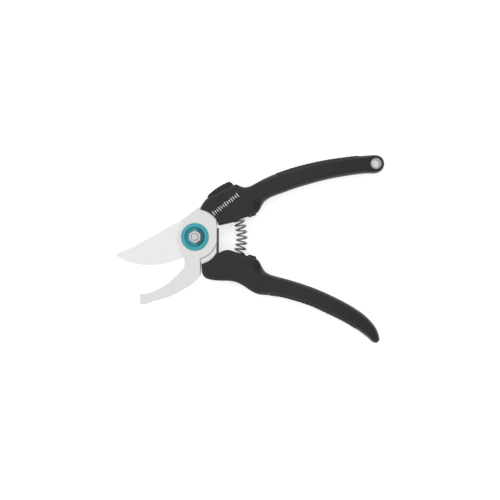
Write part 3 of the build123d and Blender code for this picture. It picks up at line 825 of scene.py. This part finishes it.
# %% [markdown]
# ## The return spring
#
# One wire, wound as a helix whose axis is an arc about the pivot, so that it bends evenly as the
# handles turn. The pitch closes up at both ends, as on a real compression spring. When the pruner
# closes, each point of the wire turns about the pivot by its share of the angle, so the wire's builder
# also returns a weight from 0 at the lower end to 1 at the upper end, taken on the wire's centre line.

# %% Spring
COIL_R = 3.65 * MM
WIRE_R = 0.68 * MM
TURNS = 12.5
CROWDING = 0.026  # how much closer together the end turns are


def spring_wire():
    """Helix about an arc: centre(a) + R (cos w e_r + sin w e_z); a grows more slowly near the ends."""
    t = np.linspace(0, 1, int(TURNS * 40))
    crowded = t - CROWDING * np.sin(2 * np.pi * t)
    angle = SPRING_DOWN + (SPRING_UP - SPRING_DOWN) * crowded
    winding = 2 * np.pi * TURNS * t
    outward = np.stack([np.cos(angle), np.sin(angle), 0 * angle], axis=-1)
    up = np.array([0.0, 0.0, 1.0])
    lever = np.cos(winding)[:, None] * outward + np.sin(winding)[:, None] * up
    line = on_arc(angle) + COIL_R * lever
    tangent = np.gradient(line, axis=0)
    tangent /= np.linalg.norm(tangent, axis=1, keepdims=True)
    side = np.cross(tangent, lever)
    side /= np.linalg.norm(side, axis=1, keepdims=True)
    return line, np.cross(side, tangent), side, (angle - SPRING_DOWN) / (SPRING_UP - SPRING_DOWN)


line, across, upward, share = spring_wire()
WIRE_SIDES = 12
spring = carried("spring", line, across, upward, WIRE_R, WIRE_SIDES)
spring.data.materials.append(spring_steel)
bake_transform(spring)
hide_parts("return_spring")
print(f"spring: {TURNS} turns, {len(line)} stations")

# %% [markdown]
# ## The pivot
#
# A turquoise plastic cup sits on the hook plate, with a steel nut standing proud in its recess. The
# cup is a turned profile: outer wall, rounded rim, a narrow land, and a slope down to the floor.

# %% Pivot ring


def arc_points(centre, radius, start, end, count):
    """(r, z) points on a quarter or other arc of a profile, angles in degrees."""
    a = np.radians(np.linspace(start, end, count))
    return [(centre[0] + radius * np.cos(t), centre[1] + radius * np.sin(t)) for t in a]


RING_R, RING_BORE_R = 9.95, 2.8  # millimetres, as are the next four
RIM_ROUND, LAND_ROUND = 1.2, 0.45
CUP_R, CUP_FLOOR = 5.3, 1.0
ring_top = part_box("pivot_ring")[1][2] / MM
ring_foot = PLATE_TOP / MM
profile = [(RING_BORE_R, ring_foot), (RING_R - 0.25, ring_foot), (RING_R, ring_foot + 0.25)]
profile += arc_points((RING_R - RIM_ROUND, ring_top - RIM_ROUND), RIM_ROUND, 0, 78, 14)
profile += arc_points((7.55, ring_top - LAND_ROUND), LAND_ROUND, 90, 170, 8)
profile += [(6.75, ring_foot + CUP_FLOOR + 0.9)]
profile += arc_points((6.1, ring_foot + CUP_FLOOR + LAND_ROUND), LAND_ROUND, 0, -80, 6)
profile += [(CUP_R, ring_foot + CUP_FLOOR), (RING_BORE_R, ring_foot + CUP_FLOOR)]
profile = np.array(profile) * MM
ring = turned("pivot_ring_cup", profile[:, 0], profile[:, 1], (0, 0, 0), 160, 30)
add_piece(ring, "hook_half", "ring_turquoise", ring_turquoise, "pivot_ring")

# %% [markdown]
# The nut is a hexagon, so its profile depends on the angle: the distance to a flat is constant, and a
# cone turned on the top face cuts each corner lower than the middle of a flat.

# %% Nut
NUT_LOW, NUT_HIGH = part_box("pivot_nut")
FLAT_R = NUT_HIGH[0]
HOLE_R = 2.5 * MM
CONE_R = 3.75 * MM
CONE_SLOPE_TOP, CONE_SLOPE_FOOT = np.tan(np.radians([32, 20]))
CHAMFER_TOP, CHAMFER_FOOT = 0.35 * MM, 0.2 * MM


def hexagon_nut(name, per_side=14):
    """Rows of the profile against angle: radius flat / cos(angle from the nearest flat's middle)."""
    angle = np.radians(np.linspace(0, 360, 6 * per_side, endpoint=False) - 30)
    off = (angle + np.pi / 6) % (np.pi / 3) - np.pi / 6
    hexagon = FLAT_R / np.cos(off)
    foot, top = NUT_LOW[2], NUT_HIGH[2]
    cone = top - np.maximum(hexagon - CONE_R, 0) * CONE_SLOPE_TOP
    cone_low = foot + np.maximum(hexagon - CONE_R, 0) * CONE_SLOPE_FOOT
    same = np.ones_like(angle)
    rows = [
        (HOLE_R * same, (foot + CHAMFER_FOOT) * same), ((HOLE_R + CHAMFER_FOOT) * same, foot * same),
        (CONE_R * same, foot * same), (hexagon, cone_low), (hexagon, (foot + top) / 2 * same),
        (hexagon, cone), (CONE_R * same, top * same), ((HOLE_R + CHAMFER_TOP) * same, top * same),
        (HOLE_R * same, (top - CHAMFER_TOP) * same),
    ]
    grid = np.array([np.stack([r * np.cos(angle), r * np.sin(angle), z], axis=-1) for r, z in rows])
    faces = grid_quads(len(rows), len(angle), wrap_rows=True, wrap_columns=True)
    return new_piece(name, grid, faces, 25)


nut = hexagon_nut("nut")
add_piece(nut, "hook_half", "bolt_steel", bolt_steel, "pivot_nut")

# %% [markdown]
# Beside the nut, on its right in the same recess, sits a small block of darker teal that paints the
# nut's shadow there. It is an arc-shaped block with a domed top, made of two sheets.

# %% Painted shadow beside the nut
SHADOW_BLOCK_IN, SHADOW_BLOCK_OUT, SHADOW_BLOCK_TURN = 4.75 * MM, 6.55 * MM, 68
SHADOW_BLOCK_FOOT, SHADOW_BLOCK_TOP = PLATE_TOP + 0.9 * MM, PLATE_TOP + 1.75 * MM
SHADOW_BLOCK_WALL, SHADOW_BLOCK_ROUND = 0.4 * MM, 0.35 * MM


def nut_shadow_block(name, rows=60, columns=14):
    """Height over an arc: foot + (top - foot) sqrt(1 - (1 - d)^2), d the distance from the rim."""
    turn = np.radians(SHADOW_BLOCK_TURN) * np.linspace(-1, 1, rows)[:, None]
    across = -np.cos(np.pi * np.linspace(0, 1, columns))[None, :]
    r = (SHADOW_BLOCK_IN + SHADOW_BLOCK_OUT) / 2 + (SHADOW_BLOCK_OUT - SHADOW_BLOCK_IN) / 2 * across
    to_side = (1 - np.abs(across)) * (SHADOW_BLOCK_OUT - SHADOW_BLOCK_IN) / 2
    to_end = (np.radians(SHADOW_BLOCK_TURN) - abs(turn)) * r
    share = np.clip(np.minimum(to_side, to_end) / SHADOW_BLOCK_ROUND, 0, 1)
    wall = SHADOW_BLOCK_FOOT + SHADOW_BLOCK_WALL
    z = wall + (SHADOW_BLOCK_TOP - wall) * np.sqrt(1 - (1 - share) ** 2)
    top = np.stack([r * np.cos(turn), r * np.sin(turn), z], axis=-1)
    foot = top.copy()
    foot[..., 2] = SHADOW_BLOCK_FOOT
    return from_sheets(name, top, foot, (), 50)


# painted shadow: a dark teal block to the right of the nut stands for the shade in the recess
add_piece(nut_shadow_block("nut_shadow_block"), "hook_half", "ring_turquoise", nut_shadow_teal)

# %% [markdown]
# The eyelet is a tubular rivet: a thin wall with a rolled lip at both ends. One closed profile makes
# it, mirrored about the middle plane.

# %% Eyelet
EYELET_LOW, EYELET_HIGH = (corner[2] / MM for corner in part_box("hanging_eyelet"))
lip = EYELET_HIGH - 0.30
upper_half = [(2.75, MID_Z / MM), (2.75, lip - 0.6)] + arc_points((3.35, lip - 0.6), 0.6, 180, 100, 8)
upper_half += arc_points((3.62, lip - 0.02), 0.28, 90, -60, 8) + [(3.42, lip - 0.30)]
middle = 2 * MID_Z / MM
mirrored = [(r, middle - z) for r, z in upper_half[::-1]]
profile = np.array(upper_half + mirrored[:-1]) * MM
eyelet = turned("eyelet", profile[:, 0], profile[:, 1], (*EYE, 0), 72, 40)
add_piece(eyelet, "hook_half", "eyelet_steel", eyelet_steel, "hanging_eyelet")

# %% [markdown]
# ## The lock button
#
# The button is a low saddle with a row of ridges, which a thumb pushes along the slope of the block.
# Its top is a height over a rectangle: the crown's curve, less a wave where the ridges are, times a
# rounding near the edges.

# %% Lock button
BUTTON_FRONT, BUTTON_REAR = 21.0 * MM, 41.5 * MM
BUTTON_HALF = (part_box("lock_button")[1][2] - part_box("lock_button")[0][2]) / 2 - 0.02 * MM
BUTTON_FOOT = 20.78 * MM
BUTTON_WALL, BUTTON_ROUND = 0.35 * MM, 1.3 * MM
RIDGE_PITCH, RIDGE_DEEP, FIRST_GROOVE = 2.3 * MM, 0.62 * MM, 24.9 * MM
RIDGES_FROM, RIDGES_TO, RIDGES_FADE = 24.2 * MM, 38.6 * MM, 1.2 * MM
CROWN = (  # millimetres: along the slope, then the height above it
    [21.0, 23.5, 26.5, 30, 34, 38, 40.3, 41.6], [21.9, 22.9, 23.7, 24.3, 24.6, 24.6, 24.0, 22.9])


def lock_button():
    """Height(a, c) = foot + wall + (crown(a) - ridges(a) - wall) x quarter oval of the edge distance."""
    t = np.linspace(0, 1, 150)
    a = BUTTON_FRONT + (BUTTON_REAR - BUTTON_FRONT) * (t - 0.7 * np.sin(2 * np.pi * t) / (2 * np.pi))
    c = -np.cos(np.pi * np.linspace(0, 1, 40))
    a, c = np.meshgrid(a, c, indexing="ij")
    crown = np.interp(a / MM, CROWN[0], CROWN[1]) * MM
    inside = np.clip(np.minimum(a - RIDGES_FROM, RIDGES_TO - a) / RIDGES_FADE, 0, 1)
    wave = (0.5 + 0.5 * np.cos(2 * np.pi * (a - FIRST_GROOVE) / RIDGE_PITCH)) ** 1.5
    narrow = np.clip((0.86 - np.abs(c)) / 0.12, 0, 1)
    crown = crown - RIDGE_DEEP * wave * inside * narrow
    edge = np.minimum(np.minimum(a - BUTTON_FRONT, BUTTON_REAR - a), BUTTON_HALF * (1 - np.abs(c)))
    share = np.clip(edge / BUTTON_ROUND, 0, 1)
    wall = BUTTON_FOOT + BUTTON_WALL
    height = wall + (crown - wall) * np.sqrt(1 - (1 - share) ** 2)
    z = (MID_Z + BUTTON_HALF * c)[..., None]
    top = np.concatenate([on_slide(a, height), z], axis=-1)
    foot = np.concatenate([on_slide(a, 0 * a + BUTTON_FOOT), z], axis=-1)
    return from_sheets("button", top, foot, (), 35)


add_piece(lock_button(), "lock_slide", "button_plastic", button_plastic, "lock_button")

# %% [markdown]
# ## Pads and buffers
#
# The pads are strips of soft rubber let into the outer edges of the grips. A pad wraps round the edge
# of both shells, so it is carried along the outer edge: its section is the shell's own rounding, a
# little proud of it, and shallow grooves run across it.

# %% Grip pads
PAD_PROUD, PAD_SUNK = 0.34 * MM, 0.9 * MM
PAD_LEAN = np.radians(38)  # how far round the edge it reaches, each way
PAD_TAPER = 0.035  # share of the length over which each end runs out
GROOVE_PITCH, GROOVE_DEEP = 3.2 * MM, 0.16 * MM


def edge_pad(name, band, start, end, side):
    """Point = outer edge - inward (r (1 - cos b)) at height wall + (full - wall) sin b, raised a little.
    b runs round the edge from the rear to the front; side says which way is inward."""
    along = np.linspace(0, band.length, 900)
    edge = band.edge(band.outer, along)
    keep = (edge[:, 0] > start * MM) & (edge[:, 0] < end * MM)
    edge = edge[keep]
    tangent = np.gradient(edge, axis=0)
    tangent /= np.linalg.norm(tangent, axis=1, keepdims=True)
    inward = side * np.stack([-tangent[:, 1], tangent[:, 0]], axis=-1)
    x = edge[:, 0]
    rounding = np.interp(x, *band.round_at)[:, None]
    full, wall = BLOCK_HALF - BLOCK_CLEAR - GRIP_THINNER, GRIP_WALL
    b = np.linspace(-1, 1, 41)
    lean = PAD_LEAN * b
    s = np.linspace(0, 1, len(edge))
    ends = np.clip(np.minimum(s, 1 - s) / PAD_TAPER, 0, 1)
    taper = np.sqrt(1 - (1 - ends) ** 2)[:, None]
    sides = np.sqrt(np.clip(1 - np.abs(b) ** 10, 0, 1))[None, :]
    run = np.cumsum(np.concatenate([[0], np.linalg.norm(np.diff(edge, axis=0), axis=1)]))
    groove = (0.5 + 0.5 * np.cos(2 * np.pi * run / GROOVE_PITCH))[:, None] ** 4
    groove = groove * np.clip((0.8 - np.abs(b)) / 0.15, 0, 1)[None, :]
    raised = PAD_PROUD * taper * sides - GROOVE_DEEP * groove * taper
    inset = rounding * (1 - np.cos(lean))[None, :]
    rise = np.sign(lean) * wall * np.minimum(np.abs(b) / 0.12, 1) + (full - wall) * np.sin(lean)

    def sheet(lift, squeeze):
        plan = edge[:, None] + inward[:, None] * (inset - lift * np.cos(lean))[..., None]
        z = MID_Z + rise * squeeze + lift * np.sin(lean)
        return np.concatenate([plan, np.broadcast_to(z, plan.shape[:2])[..., None]], axis=-1)

    return from_sheets(name, sheet(raised, 1.0), sheet(0 * raised - PAD_SUNK, 0.97), (), 50)


pad = edge_pad("upper_pad", upper_band, 58, 118, -1)
add_piece(pad, "hook_half", "grip_rubber", grip_rubber, "upper_grip_pad")
pad = edge_pad("lower_pad", lower_band, 54, 116, 1)
add_piece(pad, "blade_half", "grip_rubber", grip_rubber, "lower_grip_pad")

# %% [markdown]
# The two buffers are small rubber blocks that meet when the pruner closes. Each is a superellipsoid,
# which is a box whose edges are all softly rounded.

# %% Buffers
BUFFER_HALF = np.array([3.0, 1.7, 4.0]) * MM
SQUARENESS = 0.28


def power(value, exponent):
    """A power that keeps the sign."""
    return np.sign(value) * np.abs(value) ** exponent


def buffer_block(name, place, slope, size):
    """Superellipsoid: each coordinate is a cosine or sine raised to a small power."""
    latitude = np.linspace(-np.pi / 2, np.pi / 2, 34)[1:-1, None]
    longitude = np.linspace(-np.pi, np.pi, 56, endpoint=False)[None, :]
    ring = power(np.cos(latitude), SQUARENESS)
    x = size[0] * ring * power(np.cos(longitude), SQUARENESS)
    y = size[1] * ring * power(np.sin(longitude), SQUARENESS)
    z = size[2] * power(np.sin(latitude), SQUARENESS) + 0 * longitude
    c, s = np.cos(slope), np.sin(slope)
    points = np.stack([c * x - s * y, s * x + c * y, z], axis=-1).reshape(-1, 3)
    poles = np.array([[0, 0, -size[2]], [0, 0, size[2]]])
    faces = grid_quads(latitude.size, longitude.size, wrap_columns=True).tolist()
    faces += pole_fans(latitude.size, longitude.size).tolist()
    return new_piece(name, np.vstack([points, poles]) + place, faces, 60)


for half, body, slope in (("upper", "hook_half", 20), ("lower", "blade_half", -16)):
    low, high = (np.array(corner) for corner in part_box(f"{half}_buffer"))
    block = buffer_block(f"{half}_stop", (low + high) / 2, np.radians(slope), BUFFER_HALF)
    add_piece(block, body, "buffer_rubber", buffer_rubber, f"{half}_buffer")

# %% [markdown]
# ## Printed scale
#
# A plain graduated scale is printed in light grey on the front of the upper block. Its bars lie on
# the shell, so each takes its height from the same formula as the shell.

# %% Scale bars
SCALE_START, SCALE_END = np.array([13.6, 16.8]) * MM, np.array([30.6, 30.0]) * MM
BARS = 13
BAR_HALF_WIDTH, LONG_BAR, SHORT_BAR = 0.36 * MM, 1.75 * MM, 1.2 * MM
INK_TOP, INK_EDGE, INK_ROOT = 0.05 * MM, 0.03 * MM, -0.25 * MM  # over and under the shell's skin


def scale_bars(name):
    """Rounded bars across a line, every third one longer, with tops 0.05 mm over the shell."""
    line = SCALE_END - SCALE_START
    forward = line / np.linalg.norm(line)
    side = np.array([-forward[1], forward[0]])
    b = np.linspace(0, 2 * np.pi, 20, endpoint=False)
    points, faces = [], []
    for i in range(BARS):
        centre = SCALE_START + line * i / (BARS - 1)
        half_length = LONG_BAR if i % 3 == 0 else SHORT_BAR
        outline = power(np.cos(b), 0.5)[:, None] * BAR_HALF_WIDTH * forward
        outline = outline + power(np.sin(b), 0.5)[:, None] * half_length * side
        spots = centre + outline
        skin = upper_band.height(spots, upper_band.depth(spots))
        middle = upper_band.height(centre[None], upper_band.depth(centre[None]))[0]
        start = sum(len(p) for p in points)
        rows = [
            np.column_stack([spots, MID_Z + skin + INK_ROOT]),
            np.column_stack([spots, MID_Z + skin + INK_EDGE]),
            np.column_stack([centre + outline * 0.9, MID_Z + skin + INK_TOP]),
        ]
        poles = [[*centre, MID_Z + middle + INK_ROOT], [*centre, MID_Z + middle + INK_TOP]]
        points.append(np.vstack(rows + [poles]))
        faces += (grid_quads(3, len(b), wrap_columns=True) + start).tolist()
        faces += (pole_fans(3, len(b)) + start).tolist()
    return new_piece(name, np.vstack(points), faces, 60)


add_piece(scale_bars("scale_marks"), "hook_half", "handle_plastic", scale_ink)

# %% [markdown]
# ## Floor, light and camera
#
# The tool lies on a plain white sweep and is seen from straight above through a long lens. A large
# soft lamp stands above and to the upper left, and the white surroundings fill the rest.

# %% Floor
FLOOR_HALF = 3.0
FLOOR_Z = -0.05 * MM  # just under the tool, so that no two faces share a plane
floor_mesh = bpy.data.meshes.new("floor")
corners = np.array([[-1, -1, 0], [1, -1, 0], [1, 1, 0], [-1, 1, 0]]) * FLOOR_HALF
corners[:, 2] = FLOOR_Z
floor_mesh.from_pydata(corners.tolist(), [], [(0, 1, 2, 3)])
floor = bpy.data.objects.new("floor", floor_mesh)
bpy.context.scene.collection.objects.link(floor)
paper = Finish("white_paper", Roughness=0.9, Specular_IOR_Level=0.1, Emission_Strength=0.50)
paper.shader.inputs["Emission Color"].default_value = (1, 1, 1, 1)
fibres = paper.noise(400, 3.0, 0.6)
floor_mesh.materials.append(paper.drive(Base_Color=paper.mix(fibres, grey(0.78), grey(0.82))))

# %% [markdown]
# The light is a bright sky all round, which the steel mirrors, and two large soft lamps, which only
# shape the dull surfaces: lamps mirrored in flat plates would burn them out from some sides.

# %% Light
scene = bpy.context.scene
scene.view_settings.view_transform = "Standard"
world = bpy.data.worlds.new("studio")
world.use_nodes = True
scene.world = world
HORIZON, ZENITH = 0.62, 1.0
FULL_FROM = np.radians(50)  # the sky is at its full brightness above this height


def soft_sky():
    """Brightness grows from HORIZON at the horizon to ZENITH at FULL_FROM, with the height of the
    direction."""
    nodes, links = world.node_tree.nodes, world.node_tree.links
    direction = nodes.new("ShaderNodeTexCoord")
    height = nodes.new("ShaderNodeSeparateXYZ")
    level = nodes.new("ShaderNodeMapRange")
    level.inputs["From Max"].default_value = np.sin(FULL_FROM)
    level.inputs["To Min"].default_value = HORIZON
    level.inputs["To Max"].default_value = ZENITH
    links.new(direction.outputs["Generated"], height.inputs[0])
    links.new(height.outputs["Z"], level.inputs["Value"])
    links.new(level.outputs[0], nodes["Background"].inputs["Strength"])
    nodes["Background"].inputs["Color"].default_value = (1, 1, 1, 1)


soft_sky()


def lamp(name, place, target, size, power_watts):
    """A square soft lamp that faces its target."""
    data = bpy.data.lights.new(name, "AREA")
    data.shape, data.size, data.energy = "SQUARE", size, power_watts
    light = bpy.data.objects.new(name, data)
    light.location = place
    direction = Vector(target) - Vector(place)
    light.rotation_euler = direction.to_track_quat("-Z", "Y").to_euler()
    light.visible_glossy = False
    scene.collection.objects.link(light)


VIEW_CENTRE = (39.6 * MM, -9.4 * MM)
lamp("key", (-0.50, 0.70, 0.95), (*VIEW_CENTRE, 0), 1.3, 5.0)
lamp("fill", (0.8, -0.4, 1.0), (*VIEW_CENTRE, 0), 1.2, 1.2)

# %% [markdown]
# The camera looks straight down. Its height follows from the width of the view and the lens.

# %% Camera
SENSOR = 36.0
LENS = 150.0
FRAME_WIDTH = 0.36
camera_data = bpy.data.cameras.new("camera")
camera_data.sensor_width, camera_data.lens = SENSOR, LENS
camera = bpy.data.objects.new("camera", camera_data)
camera.location = (*VIEW_CENTRE, MID_Z + FRAME_WIDTH * LENS / SENSOR)
camera_data.clip_start = 0.05
scene.collection.objects.link(camera)
scene.camera = camera
print("camera height:", round(camera.location[2], 3))
